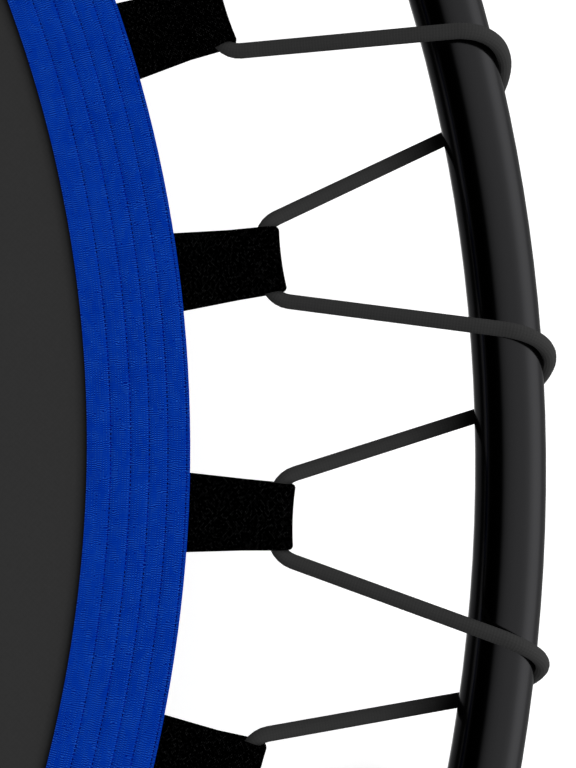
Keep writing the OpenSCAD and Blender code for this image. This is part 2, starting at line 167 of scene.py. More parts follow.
# Screws
JOINT_BOLT_AT = 17 * MM
JOINT_BOLT_R = 3 * MM
BUTTON_HEAD_R = 5.25 * MM
BUTTON_HEAD_H = 3.3 * MM
SOCKET_R = 2.28 * MM
SOCKET_DEPTH = 2 * MM
SOCKET_LIP = 0.12 * MM
SOCKET_LIP_DEPTH = 0.1 * MM
SOCKET_CLEAR = 0.2 * MM
CAP_NUT_R = 5.76 * MM
CAP_NUT_H = 4.8 * MM
CAP_DOME_SHARE = 0.97
CAP_DOME_SUNK = 0.5 * MM
PIVOT_R = 4 * MM
PIVOT_THREAD_L = 6 * MM
PIVOT_THREAD_PITCH = 1.25 * MM
THREAD_TIP_CUT = 0.7 * MM
THREAD_TIP_L = 0.4 * MM
PIVOT_HEX_R = 7.52 * MM
PIVOT_HEAD_H = 5.28 * MM
PIVOT_NUT_H = 6.56 * MM
COLLAR_R = 6.08 * MM
COLLAR_H = 1.76 * MM
COLLAR_LIP = 0.4 * MM
COLLAR_SUNK = 0.8 * MM
COLLAR_EDGE_R = 0.6 * MM
WASHER_R = 8 * MM
WASHER_T = 1.6 * MM
WASHER_EDGE_R = 0.25 * MM
PIVOT_TIP = 2 * MM
HEAD_Z = CHEEK_OUT + WASHER_T

# An edge that turns more than CREASE is shaded sharp, and a plate's edge past CORNER is bevelled
CREASE = math.radians(35)
CORNER = math.radians(50)
# Largest share of a side that a rounded corner takes
CORNER_SHARE = 0.45
# Share of a taut piece's reach over which it turns away from the body that it leaves
SOFT_START = 0.06


# ---------- helpers ----------

def linear(hex_colour):
    """Linear RGBA of an sRGB hex value."""
    channels = [int(hex_colour[i:i + 2], 16) / 255 for i in (1, 3, 5)]
    return [c / 12.92 if c <= 0.04045 else ((c + 0.055) / 1.055) ** 2.4 for c in channels] + [1.0]


def plug(tree, node, inputs):
    """Sets a node's sockets: each to a value, or by a link from a socket or a node's first output."""
    for name, value in inputs.items():
        if isinstance(value, bpy.types.Node):
            value = next(socket for socket in value.outputs if socket.enabled)
        if isinstance(value, bpy.types.NodeSocket):
            tree.links.new(value, node.inputs[name])
        else:
            node.inputs[name].default_value = value


def add(tree, kind, inputs=None, **settings):
    """Adds a shader node, with its settings, its socket values and its links."""
    node = tree.nodes.new("ShaderNode" + kind)
    for name, value in settings.items():
        setattr(node, name, value)
    plug(tree, node, inputs or {})
    return node


def material(name, inputs):
    """New material, with its node tree and its Principled shader, which has these values."""
    made = bpy.data.materials.new(name)
    made.use_nodes = True
    shader = made.node_tree.nodes["Principled BSDF"]
    plug(made.node_tree, shader, inputs)
    return made, made.node_tree, shader


def solid(name, shape, finish):
    """Makes an object of a finished bmesh, smooth but for its creases."""
    for face in shape.faces:
        face.smooth = True
    for edge in shape.edges:
        edge.smooth = edge.calc_face_angle(0.0) < CREASE
    mesh = bpy.data.meshes.new(name)
    shape.to_mesh(mesh)
    shape.free()
    mesh.materials.append(finish)
    made = bpy.data.objects.new(name, mesh)
    bpy.context.scene.collection.objects.link(made)
    return made


def piece(name, shape, finish, body=None, stands_for=()):
    """Makes a piece of the trampoline, tied to a body and in place of the nodes that it dresses."""
    made = solid(name, shape, finish)
    if body:
        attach(made, body)
    if stands_for:
        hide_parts(*stands_for)
    return made


def blend_by_radius(made, outer_r, inner_r, taut=False):
    points = [v.co.copy() for v in made.data.vertices]
    for v, p in zip(made.data.vertices, points):
        share = (outer_r - math.hypot(p.x, p.y)) / (outer_r - inner_r)
        share = min(max(share, 0), 1)
        if taut:
            even = share * share * (1 + SOFT_START) / (share + SOFT_START)
            share = 0.5 - math.sin(math.asin(1 - 2 * even) / 3)
        v.co = (outer_r + (inner_r - outer_r) * share, 0, p.z)
    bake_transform(made)
    for v, p in zip(made.data.vertices, points):
        v.co = p
    made.data.update()


def turned(outline, closed=False, span=360, steps=48):
    """Shape turned about Z from (radius, height) points, in metres."""
    shape = bmesh.new()
    points = [shape.verts.new((r, 0, z)) for r, z in outline]
    pairs = list(zip(points, points[1:])) + ([(points[-1], points[0])] if closed else [])
    edges = [shape.edges.new(pair) for pair in pairs]
    bmesh.ops.spin(
        shape, geom=points + edges, cent=(0, 0, 0), axis=(0, 0, 1),
        angle=math.radians(span), steps=steps, use_merge=span == 360,
    )
    bmesh.ops.remove_doubles(shape, verts=shape.verts[:], dist=1e-7)
    bmesh.ops.recalc_face_normals(shape, faces=shape.faces[:])
    return shape


def repeat_round(shape, count, pitch):
    """Copies a shape round Z, count times in all, pitch degrees apart."""
    bmesh.ops.spin(
        shape, geom=shape.verts[:] + shape.edges[:] + shape.faces[:], cent=(0, 0, 0),
        axis=(0, 0, 1), angle=math.radians(pitch * (count - 1)), steps=count - 1,
        use_duplicate=True,
    )


def fill_circle(shape, pitch):
    """Copies a shape all the way round Z, about pitch degrees apart: a short run first, then runs."""
    run = round(math.sqrt(360 / pitch))
    runs = round(360 / pitch / run)
    repeat_round(shape, run, 360 / run / runs)
    repeat_round(shape, runs, 360 / runs)


def rounded(points, radius, steps=4, ends=False):
    """Points of an outline with its corners rounded; ends says that it runs round and closes."""
    count = len(points)
    out = []
    for i, point in enumerate(points):
        if not ends and i in (0, count - 1):
            out.append(point)
            continue
        here, before, after = Vector(point), Vector(points[i - 1]), Vector(points[(i + 1) % count])
        back, on = (before - here).normalized(), (after - here).normalized()
        half = back.angle(on) / 2
        shorter = min((before - here).length, (after - here).length)
        reach = min(radius / math.tan(half), CORNER_SHARE * shorter)
        small = reach * math.tan(half)
        if half > math.radians(88) or small < 1e-6:
            out.append(point)
            continue
        middle = here + (back + on).normalized() * (small / math.sin(half))
        first, last = here + back * reach - middle, here + on * reach - middle
        for j in range(steps + 1):
            way = first.lerp(last, j / steps).normalized() * small
            out.append(tuple(middle + way))
    return out


def joined(shape, *others):
    """Adds other shapes to a shape."""
    for other in others:
        mesh = bpy.data.meshes.new("part")
        other.to_mesh(mesh)
        other.free()
        shape.from_mesh(mesh)
        bpy.data.meshes.remove(mesh)
    return shape


def placed(shape, matrix):
    """Moves a shape by a matrix."""
    bmesh.ops.transform(shape, verts=shape.verts[:], matrix=matrix)
    return shape


def soften(shape, size):
    """Bevels the sharp edges of a shape."""
    edges = [e for e in shape.edges if e.calc_face_angle(0.0) > CORNER]
    bmesh.ops.bevel(shape, geom=edges, offset=size, offset_type="OFFSET", segments=2, profile=0.5,
                    affect="EDGES", clamp_overlap=True, material=-1)
    return shape


def extruded(outline, thickness):
    """Plate with an outline in X and Z, its thickness along Y and its middle at 0."""
    shape = bmesh.new()
    side = shape.faces.new([shape.verts.new((x, -thickness / 2, z)) for x, z in outline])
    grown = bmesh.ops.extrude_face_region(shape, geom=[side])["geom"]
    moved = [g for g in grown if isinstance(g, bmesh.types.BMVert)]
    bmesh.ops.translate(shape, verts=moved, vec=(0, thickness, 0))
    bmesh.ops.recalc_face_normals(shape, faces=shape.faces[:])
    return shape


def on_ring(angle):
    """Frame on the ring's centre line: X outward, Y along the ring."""
    return Matrix.Rotation(math.radians(angle), 4, "Z") @ Matrix.Translation((RING_R, 0, RING_H))


def on_pivot(k):
    """Frame on a leg's pivot bolt, which lies along Y."""
    return on_ring(leg_angle(k)) @ Matrix.Translation((0, 0, -PIVOT_DROP))


def on_leg(k):
    """Frame at a leg's pivot: -Z runs down the open leg."""
    return on_pivot(k) @ Matrix.Rotation(math.radians(-SPLAY), 4, "Y")


def leg_angle(k):
    return FIRST_LEG + (k - 1) * 360 / LEG_COUNT


def along_ring(length):
    """Degrees of the ring that a length takes up."""
    return math.degrees(length / RING_R)


def turn(shape, degrees):
    """Turns a shape about Z."""
    bmesh.ops.rotate(
        shape, verts=shape.verts[:], cent=(0, 0, 0), matrix=Matrix.Rotation(math.radians(degrees), 3, "Z")
    )


# ---------- materials ----------

def polar(tree):
    """Nodes for a point's distance along the ring at the band's middle and for its radius, in metres."""
    place = add(tree, "TexCoord").outputs["Object"]
    axes = add(tree, "SeparateXYZ", {0: place})
    angle = add(tree, "Math", {0: axes.outputs["Y"], 1: axes.outputs["X"]}, operation="ARCTAN2")
    along = add(tree, "Math", {0: angle, 1: (BAND_IN_R + BAND_OUT_R) / 2}, operation="MULTIPLY")
    flat = add(tree, "VectorMath", {0: place, 1: (1, 1, 0)}, operation="MULTIPLY")
    return along, add(tree, "VectorMath", {0: flat}, operation="LENGTH")


def wave(tree, value, pitch):
    """Sine of a distance, from -1 to 1, with a pitch in metres."""
    turns = add(tree, "Math", {0: value, 1: 2 * math.pi / pitch}, operation="MULTIPLY")
    return add(tree, "Math", {0: turns}, operation="SINE")


def patches(tree, place, size, low, high, top=1.0, seed=0.0):
    """Soft patches of a size, from 0 to top, where a noise passes from low to high."""
    noise = add(tree, "TexNoise", {"Vector": place, "W": seed, "Scale": 1 / size, "Detail": 2.0},
                noise_dimensions="4D")
    return add(tree, "MapRange", {"Value": noise, "From Min": low, "From Max": high, "To Max": top})


def graded(tree, value, levels):
    """Level that a value gives, from (value, level) pairs."""
    lowest, highest = levels[0][0], levels[-1][0]
    share = add(tree, "MapRange", {"Value": value, "From Min": lowest, "From Max": highest})
    ramp = add(tree, "ValToRGB", {"Fac": share})
    stops = ramp.color_ramp.elements
    while len(stops) < len(levels):
        stops.new(0.5)
    for stop, (at, level) in zip(stops, levels):
        stop.position = (at - lowest) / (highest - lowest)
        stop.color = [level] * 3 + [1]
    return ramp


def gloss_black_paint():
    """Stoved gloss enamel on steel tube: nearly no colour of its own, so it shows the light, with
    the faint orange peel of paint that has flowed."""
    made, tree, shader = material("gloss_black_enamel", {
        "Base Color": linear("#2b2b2c"), "Metallic": 1.0, "Roughness": 0.16,
        "Specular Tint": linear("#bcbcbc"),
    })
    place = add(tree, "TexCoord").outputs["Object"]
    peel = add(tree, "TexNoise", {"Vector": place, "Scale": 1 / (3.8462 * MM), "Detail": 1.0})
    bump = add(tree, "Bump", {"Height": peel, "Strength": 0.03, "Distance": 0.1 * MM})
    plug(tree, shader, {"Normal": bump})
    return made


# Painted shadow on the mat along the tape's inner edge: a soft contact shadow ending in a near-black line
# at the edge, as a level by the distance from the centre
EDGE_SHADOW = [(BAND_IN_R + away * MM, level) for away, level in
           ((-4.5, 1), (-2.97, 0.88), (-2.16, 0.8), (-1.305, 0.56), (-0.45, 0.32), (0, 0.2))]
# Pitch of the mat's threads, which are finer than this and are drawn as coarse as they need to show
MAT_THREAD = 2.2 * MM


def mat_weave():
    """Plain-woven polypropylene: matt dark grey, with a painted shadow where the tape's edge lies on it."""
    made, tree, shader = material("woven_polypropylene", {"Roughness": 0.9, "Specular IOR Level": 0.0})
    place = add(tree, "TexCoord").outputs["Object"]
    axes = add(tree, "SeparateXYZ", {0: place})
    warp, weft = (wave(tree, axes.outputs[axis], MAT_THREAD) for axis in "XY")
    cells = add(tree, "Math", {0: warp, 1: weft}, operation="MULTIPLY")
    cloud = add(tree, "Math", {0: patches(tree, place, 2 * MM, 0.3, 0.7, 0.3), 1: 0.35}, operation="ADD")
    tone = add(tree, "Math", {0: cells, 1: 0.12, 2: cloud}, operation="MULTIPLY_ADD")
    grey = add(tree, "Mix", {"Factor": tone, "A": linear("#2f2f2f"), "B": linear("#343434")},
               data_type="RGBA")
    # Painted shadow: the mat's grey is darkened along the tape's inner edge
    edge = graded(tree, polar(tree)[1], EDGE_SHADOW)
    pressed = add(tree, "Mix", {"Factor": 1.0, "A": grey, "B": edge}, data_type="RGBA",
                  blend_type="MULTIPLY")
    plug(tree, shader, {"Base Color": pressed})
    return made


# Ribs wander by up to this much; the painted sheen of the raised threads shows as dots of this pitch along
# a rib
RIB_WANDER = 0.45 * MM
DOT_PITCH = 0.97 * MM


def band_weave():
    """Dyed polyester tape: fine ribs across it, which its warp breaks into short runs. The light and shade
    of the ribs and a whitish sheen on the raised threads are painted into its colour."""
    made, tree, shader = material("ribbed_polyester_tape", {"Roughness": 0.8, "Specular IOR Level": 0.0})
    along, radius = polar(tree)
    runs = add(tree, "Math", {0: along, 1: 0.5}, operation="MULTIPLY")
    warp = add(tree, "CombineXYZ", {"X": runs, "Y": radius})
    # The ribs wander a little, and step by half a rib from run to run
    wander = add(tree, "TexNoise", {"W": along, "Scale": 1 / (3.8462 * MM), "Detail": 1.0},
                 noise_dimensions="1D")
    wandering = add(tree, "Math", {0: wander, 1: RIB_WANDER, 2: along}, operation="MULTIPLY_ADD")
    step = patches(tree, warp, 3.0303 * MM, 0.495, 0.505, RIB_PITCH / 2, seed=11.0)
    rib = wave(tree, add(tree, "Math", {0: wandering, 1: step}, operation="ADD"), RIB_PITCH)
    dots = add(tree, "Math", {0: rib, 1: wave(tree, radius, DOT_PITCH)}, operation="MULTIPLY")
    rib_shade_depth = add(tree, "Math", {0: patches(tree, warp, 2.3256 * MM, 0.4, 0.6, 0.42), 1: 0.12},
                 operation="ADD")
    spots = patches(tree, warp, 2.6316 * MM, 0.4, 0.6, 0.55, seed=3.0)
    tone = add(tree, "Math", {0: patches(tree, warp, 6.6667 * MM, 0.3, 0.7, 0.12, seed=7.0), 1: 0.42},
               operation="ADD")
    # Painted light and shade of the ribs, and painted sheen on the raised threads as dots, over the tape's
    # own uneven tone
    ribbed = add(tree, "Math", {0: rib, 1: rib_shade_depth, 2: tone}, operation="MULTIPLY_ADD")
    sheen = add(tree, "Math", {0: dots, 1: spots, 2: ribbed}, operation="MULTIPLY_ADD")
    # The ramp runs from painted shade between the ribs, through the dye, to a whitish painted sheen
    dye_and_painted_sheen = add(tree, "ValToRGB", {"Fac": sheen})
    stops = dye_and_painted_sheen.color_ramp.elements
    stops.new(0.5).color = linear("#002e9a")
    stops[0].color = linear("#000c6c")
    stops[-1].color = linear("#1c54ba")
    plug(tree, shader, {"Base Color": dye_and_painted_sheen})
    return made


def webbing_weave():
    """Black nylon webbing: takes nearly all light, with faint specks of painted sheen on its threads. The
    threads are finer than a millimetre, and are drawn as coarse as they need to show."""
    made, tree, shader = material("black_nylon_webbing", {"Roughness": 0.9, "Specular IOR Level": 0.0})
    place = add(tree, "TexCoord").outputs["Object"]
    along, radius = polar(tree)
    warp, weft = wave(tree, along, 1.0 * MM), wave(tree, radius, 0.9 * MM)
    threads = add(tree, "Math", {0: warp, 1: weft}, operation="MULTIPLY")
    lit = patches(tree, place, 0.86957 * MM, 0.51, 0.78)
    specks = add(tree, "Math", {0: threads, 1: lit}, operation="MULTIPLY")
    # Painted sheen: the specks on the threads are lighter in the base colour
    black = add(tree, "Mix", {"Factor": specks, "A": linear("#000000"), "B": linear("#343434")},
                data_type="RGBA")
    bump = add(tree, "Bump", {"Height": threads, "Strength": 1.0, "Distance": 0.08 * MM})
    plug(tree, shader, {"Base Color": black, "Normal": bump})
    return made


# Painted shade of the tube on the cord that runs in under it, as a share by the distance from the centre
TUBE_SHADE = [(RING_R - TUBE_R + away * MM, share) for away, share in
          ((-24, 0), (-14, 0.28), (-7, 0.5), (0, 0.88), (7, 0.88), (14, 0))]
# Heights between which the painted shade fades out, so that it falls only where the cord runs below the
# tube's centre
TUBE_SHADE_UNDER = (RING_H - 6 * MM, RING_H - 2 * MM)
BRAID_THREADS = 8


def cord_jacket():
    """Braided polyester jacket over rubber: matt dark grey, with painted shade where it runs in under the
    tube.
    """
    made, tree, shader = material("braided_elastic_cord", {"Roughness": 0.9, "Specular IOR Level": 0.0})
    place = add(tree, "TexCoord")
    axes = add(tree, "SeparateXYZ", {0: place.outputs["UV"]})
    lay = CORD_R * 2 * math.pi / BRAID_THREADS
    left, right = (
        add(tree, "Math", {0: axes.outputs["X"], 1: axes.outputs["Y"]}, operation=way)
        for way in ("ADD", "SUBTRACT")
    )
    braid = add(tree, "Math", {0: wave(tree, left, lay), 1: wave(tree, right, lay)}, operation="MULTIPLY")
    tone = add(tree, "Math", {0: braid, 1: 0.2, 2: 0.5}, operation="MULTIPLY_ADD")
    grey = add(tree, "Mix", {"Factor": tone, "A": linear("#303030"), "B": linear("#383838")},
               data_type="RGBA")
    # Painted shade: darker towards the tube, only on the cord that runs below the tube's centre
    height = add(tree, "SeparateXYZ", {0: place.outputs["Object"]}).outputs["Z"]
    low = add(tree, "MapRange", {"Value": height, "From Min": TUBE_SHADE_UNDER[0],
                                 "From Max": TUBE_SHADE_UNDER[1], "To Min": 1, "To Max": 0})
    tube_shade = add(tree, "Math", {0: graded(tree, polar(tree)[1], TUBE_SHADE), 1: low}, operation="MULTIPLY")
    tube_shaded = add(tree, "Mix", {"Factor": tube_shade, "A": grey, "B": linear("#030303")}, data_type="RGBA")
    bump = add(tree, "Bump", {"Height": braid, "Strength": 1.0, "Distance": 0.05 * MM})
    plug(tree, shader, {"Base Color": tube_shaded, "Normal": bump})
    return made


def sewing_thread():
    """Bonded polyester thread, darker than the tape that it is sewn through."""
    made, tree, shader = material("navy_sewing_thread", {"Roughness": 0.8, "Specular IOR Level": 0.03})
    place = add(tree, "TexCoord").outputs["Object"]
    navy = add(tree, "Mix", {"Factor": patches(tree, place, 3.0303 * MM, 0.38, 0.62),
                             "A": linear("#000034"), "B": linear("#001088")}, data_type="RGBA")
    plug(tree, shader, {"Base Color": navy})
    return made


def zinc_plate():
    """Bright zinc over steel: a little cloudy, with fine wear."""
    made, tree, shader = material("bright_zinc_plate", {"Metallic": 1.0})
    place = add(tree, "TexCoord").outputs["Object"]
    cloud = patches(tree, place, 2.8571 * MM, 0.35, 0.65)
    bright = add(tree, "Mix", {"Factor": cloud, "A": linear("#a3a8b0"), "B": linear("#c6c9cc")},
                 data_type="RGBA")
    worn = add(tree, "MapRange", {"Value": patches(tree, place, 1.1111 * MM, 0.3, 0.7, seed=2.0),
                                  "To Min": 0.26, "To Max": 0.42})
    bump = add(tree, "Bump", {"Height": cloud, "Strength": 0.4, "Distance": 0.02 * MM})
    plug(tree, shader, {"Base Color": bright, "Roughness": worn, "Normal": bump})
    return made


def moulded_nylon():
    """Black glass-filled nylon: satin, with the fine grain of its mould."""
    made, tree, shader = material("moulded_nylon", {"Roughness": 0.45})
    place = add(tree, "TexCoord").outputs["Object"]
    grain = patches(tree, place, 0.7143 * MM, 0.3, 0.7)
    black = add(tree, "Mix", {"Factor": grain, "A": linear("#101011"), "B": linear("#19191b")},
                data_type="RGBA")
    bump = add(tree, "Bump", {"Height": grain, "Strength": 0.5, "Distance": 0.05 * MM})
    plug(tree, shader, {"Base Color": black, "Normal": bump})
    return made


def moulded_rubber():
    """Black rubber: dull, a little grey where it is scuffed."""
    made, tree, shader = material("moulded_rubber", {"Roughness": 0.75})
    place = add(tree, "TexCoord").outputs["Object"]
    scuffed = add(tree, "Mix", {"Factor": patches(tree, place, 5.5556 * MM, 0.4, 0.8),
                                "A": linear("#141415"), "B": linear("#29292a")}, data_type="RGBA")
    grain = patches(tree, place, 0.90909 * MM, 0.3, 0.7, seed=5.0)
    bump = add(tree, "Bump", {"Height": grain, "Strength": 0.5, "Distance": 0.08 * MM})
    plug(tree, shader, {"Base Color": scuffed, "Normal": bump})
    return made


def crimped_aluminium():
    """Soft aluminium: bright, with the marks of the crimping jaws."""
    made, tree, shader = material("crimped_aluminium", {"Metallic": 1.0, "Roughness": 0.38})
    place = add(tree, "TexCoord").outputs["Object"]
    marks = patches(tree, place, 1.4286 * MM, 0.4, 0.6)
    bright = add(tree, "Mix", {"Factor": marks, "A": linear("#aeb0b3"), "B": linear("#cfd0d2")},
                 data_type="RGBA")
    bump = add(tree, "Bump", {"Height": marks, "Strength": 0.5, "Distance": 0.03 * MM})
    plug(tree, shader, {"Base Color": bright, "Normal": bump})
    return made


PAINT = gloss_black_paint()
MAT = mat_weave()
BAND = band_weave()
WEBBING = webbing_weave()
CORD = cord_jacket()
THREAD = sewing_thread()
ZINC = zinc_plate()
NYLON = moulded_nylon()
RUBBER = moulded_rubber()
ALUMINIUM = crimped_aluminium()


# ---------- frame ring ----------

def section(radius, segments=48):
    """Round section of the ring's tube, at angle 0, as (radius, height) points."""
    return [
        (RING_R + radius * math.cos(2 * math.pi * i / segments),
         RING_H + radius * math.sin(2 * math.pi * i / segments))
        for i in range(segments)
    ]


def frame_tube(k):
    """A bent tube with its wall, from one joint of the ring to the next."""
    gap = math.degrees(END_GAP / 2 / RING_R)
    span = 360 / TUBE_COUNT - 2 * gap
    shape, inner = (
        turned(section(radius), closed=True, span=span, steps=96) for radius in (TUBE_R, TUBE_R - TUBE_WALL)
    )
    joined(shape, inner)
    for at_start in (True, False):
        ends = [
            e for e in shape.edges
            if e.is_boundary and (abs(e.verts[0].co.y) < 1e-6) == at_start
        ]
        bmesh.ops.bridge_loops(shape, edges=ends)
    bmesh.ops.recalc_face_normals(shape, faces=shape.faces[:])
    turn(shape, FIRST_JOINT + 360 / TUBE_COUNT * (k - 1) + gap)
    piece(f"ring_tube_{k}", shape, PAINT, "frame", [f"frame_tube_{k}"])


for k in range(1, TUBE_COUNT + 1):
    frame_tube(k)


# ---------- screws ----------

def hex_reach(v, corner_r):
    """Distance from a hexagon's middle to its side, in the direction of a point."""
    way = math.atan2(v.co.y, v.co.x) % math.radians(60)
    return corner_r * math.cos(math.radians(30)) / math.cos(way - math.radians(30))


def hex_block(corner_r, height):
    """Hexagon block standing on 0, its corners cut round at the faces as on a rolled nut."""
    flat_r = corner_r * math.cos(math.radians(30))
    cut = (corner_r - flat_r) / math.sqrt(3)
    steps = 4
    rise = [cut * i / steps for i in range(steps + 1)]
    rows = rise + [height - z for z in reversed(rise)]
    shape = turned([(0, 0)] + [(corner_r, z) for z in rows] + [(0, height)])
    for v in shape.verts:
        away = math.hypot(v.co.x, v.co.y)
        if away < corner_r / 2:
            continue
        from_face = min(v.co.z, height - v.co.z)
        reach = min(hex_reach(v, corner_r), flat_r + from_face * math.sqrt(3))
        v.co.x *= reach / away
        v.co.y *= reach / away
    return shape


def dome(radius, height, steps=8):
    """Outline of a low dome, from its rim to its top."""
    crown = (radius ** 2 + height ** 2) / (2 * height)
    half = math.asin(min(radius / crown, 1))
    angles = [half * (1 - i / steps) for i in range(steps + 1)]
    return [(crown * math.sin(a), height - crown + crown * math.cos(a)) for a in angles]


def threaded(top, length, radius, pitch):
    """Outline of a threaded end: from its root at top down to its cut tip. Each turn has a crest and
    then a groove half a pitch deep."""
    crest, root = 0.35 * pitch, 0.7 * pitch
    out = [(radius, top)]
    for i in range(int(length / pitch)):
        z = top - pitch * i
        out += [(radius, z - crest), (radius - pitch / 2, z - root), (radius, z - pitch)]
    tip = top - length
    return out + [(radius, tip + THREAD_TIP_L), (radius - THREAD_TIP_CUT, tip), (0, tip)]


def button_bolt():
    """Button-head bolt with a hexagon socket, its head standing on 0 and its shank below."""
    crown = (BUTTON_HEAD_R ** 2 + BUTTON_HEAD_H ** 2) / (2 * BUTTON_HEAD_H)
    rim_z = BUTTON_HEAD_H - crown + math.sqrt(crown ** 2 - SOCKET_R ** 2)
    shank = 2 * TUBE_R + CAP_NUT_H
    arc = [(r, z) for r, z in dome(BUTTON_HEAD_R, BUTTON_HEAD_H, 12) if r > SOCKET_R + SOCKET_CLEAR]
    outline = [(0, BUTTON_HEAD_H - SOCKET_DEPTH), (SOCKET_R, BUTTON_HEAD_H - SOCKET_DEPTH),
               (SOCKET_R, rim_z - SOCKET_LIP_DEPTH), (SOCKET_R + SOCKET_LIP, rim_z)]
    outline += list(reversed(arc)) + [(JOINT_BOLT_R, 0), (JOINT_BOLT_R, -shank), (0, -shank)]
    shape = turned(outline)
    for v in shape.verts:
        away = math.hypot(v.co.x, v.co.y)
        if v.co.z > 0 and SOCKET_R / 2 < away < SOCKET_R + SOCKET_CLEAR:
            reach = hex_reach(v, SOCKET_R) + (away - SOCKET_R)
            v.co.x *= reach / away
            v.co.y *= reach / away
    return shape


def cap_nut():
    """Cap nut standing on 0: a hexagon and a dome over the bolt's end."""
    dome_r = CAP_NUT_R * math.cos(math.radians(30)) * CAP_DOME_SHARE
    low = CAP_NUT_H - CAP_DOME_SUNK
    cap = [(0, low)] + [(r, low + z) for r, z in dome(dome_r, dome_r, 12)]
    return joined(hex_block(CAP_NUT_R, CAP_NUT_H), turned(cap))


def on_joint_bolts(make, out_from_ring):
    """One shape at each of the ring's joint bolts, its Z along the bolt."""
    whole = bmesh.new()
    for k in range(TUBE_COUNT):
        for side in (-1, 1):
            angle = FIRST_JOINT + 360 / TUBE_COUNT * k + side * along_ring(JOINT_BOLT_AT)
            face = Matrix.Rotation(math.radians(90 * out_from_ring), 4, "Y")
            joined(whole, placed(make(), on_ring(angle) @ face @ Matrix.Translation((0, 0, TUBE_R))))
    return whole


def on_pivots(make):
    """One shape at each leg's pivot, its Z along the pivot bolt from head to nut."""
    whole = bmesh.new()
    for k in range(1, LEG_COUNT + 1):
        joined(whole, placed(make(), on_pivot(k) @ Matrix.Rotation(math.radians(90), 4, "X")))
    return whole


def pivot_bolt():
    """Hexagon bolt, its head under the first washer and its threaded tip past the nut."""
    head = placed(hex_block(PIVOT_HEX_R, PIVOT_HEAD_H), Matrix.Translation((0, 0, -HEAD_Z - PIVOT_HEAD_H)))
    length = 2 * HEAD_Z + PIVOT_NUT_H + PIVOT_TIP
    thread = threaded(-length + PIVOT_THREAD_L, PIVOT_THREAD_L, PIVOT_R, PIVOT_THREAD_PITCH)
    shank = turned([(0, 0), (PIVOT_R, 0)] + thread)
    flip = Matrix.Rotation(math.radians(180), 4, "X")
    return joined(head, placed(shank, Matrix.Translation((0, 0, -HEAD_Z)) @ flip))


def pivot_washer_pair():
    """Two flat washers, each against the outer side of a cheek."""
    half = WASHER_T / 2
    ring = rounded([(PIVOT_R, -half), (WASHER_R, -half), (WASHER_R, half), (PIVOT_R, half)],
                   WASHER_EDGE_R, ends=True)
    pair = [
        placed(turned(ring, closed=True), Matrix.Translation((0, 0, side * (CHEEK_OUT + half))))
        for side in (-1, 1)
    ]
    return joined(*pair)


def lock_nut():
    """Lock nut with the round collar that holds its nylon ring."""
    hexagon = hex_block(PIVOT_HEX_R, PIVOT_NUT_H - COLLAR_H)
    sunk = PIVOT_NUT_H - COLLAR_SUNK
    collar = turned(rounded(
        [(0, 0), (COLLAR_R, 0), (COLLAR_R, PIVOT_NUT_H), (PIVOT_R + COLLAR_LIP, PIVOT_NUT_H),
         (PIVOT_R, sunk), (0, sunk)], COLLAR_EDGE_R))
    return placed(joined(hexagon, collar), Matrix.Translation((0, 0, HEAD_Z)))


piece("button_bolts", on_joint_bolts(button_bolt, 1), ZINC, "frame", ["joint_bolts"])
piece("cap_nuts", on_joint_bolts(cap_nut, -1), ZINC, "frame", ["joint_nuts"])
piece("hexagon_bolts", on_pivots(pivot_bolt), ZINC, "frame", ["pivot_bolts"])
piece("washer_pairs", on_pivots(pivot_washer_pair), ZINC, "frame", ["pivot_washers"])
piece("lock_nuts", on_pivots(lock_nut), ZINC, "frame", ["pivot_nuts"])


# ---------- brackets ----------

def beside_leg(across, down):
    """Point in a cheek's side view, from its place across and along the open leg."""
    c, s = math.cos(math.radians(SPLAY)), math.sin(math.radians(SPLAY))
    return across * c + down * s, across * s - down * c - PIVOT_DROP


def circle_part(middle, radius, start, end, steps):
    """Points of an arc from one angle to another."""
    return [
        (middle[0] + radius * math.cos(math.radians(start + (end - start) * i / steps)),
         middle[1] + radius * math.sin(math.radians(start + (end - start) * i / steps)))
        for i in range(steps + 1)
    ]


def cheek():
    """Side plate of a bracket, cut round the ring's tube at its top."""
    below = STOP_L + CHEEK_MARGIN
    outline = [(-CHEEK_R, -CHEEK_TOP)]
    outline += circle_part((0, 0), TUBE_R, 180 + SEAT_HALF, 360 - SEAT_HALF, 32)
    outline += [(CHEEK_R, -CHEEK_TOP), (CHEEK_R, -PIVOT_DROP), beside_leg(CHEEK_R, below)]
    outline += [beside_leg(CHEEK_IN - CHEEK_MARGIN, below)]
    outline += circle_part((0, -PIVOT_DROP), CHEEK_R, SPLAY - 90, -180, 24)
    return soften(extruded(outline, BRACKET_T), STEEL_EDGE_R)


def stop_plate():
    """Plate between the cheeks that the open leg leans on."""
    side = [(CHEEK_IN, -STOP_L), (CHEEK_OUT, -STOP_L), (CHEEK_OUT, STOP_TOP), (CHEEK_IN, STOP_TOP)]
    return soften(extruded(side, 2 * CHEEK_OUT - BRACKET_T), STEEL_EDGE_R)


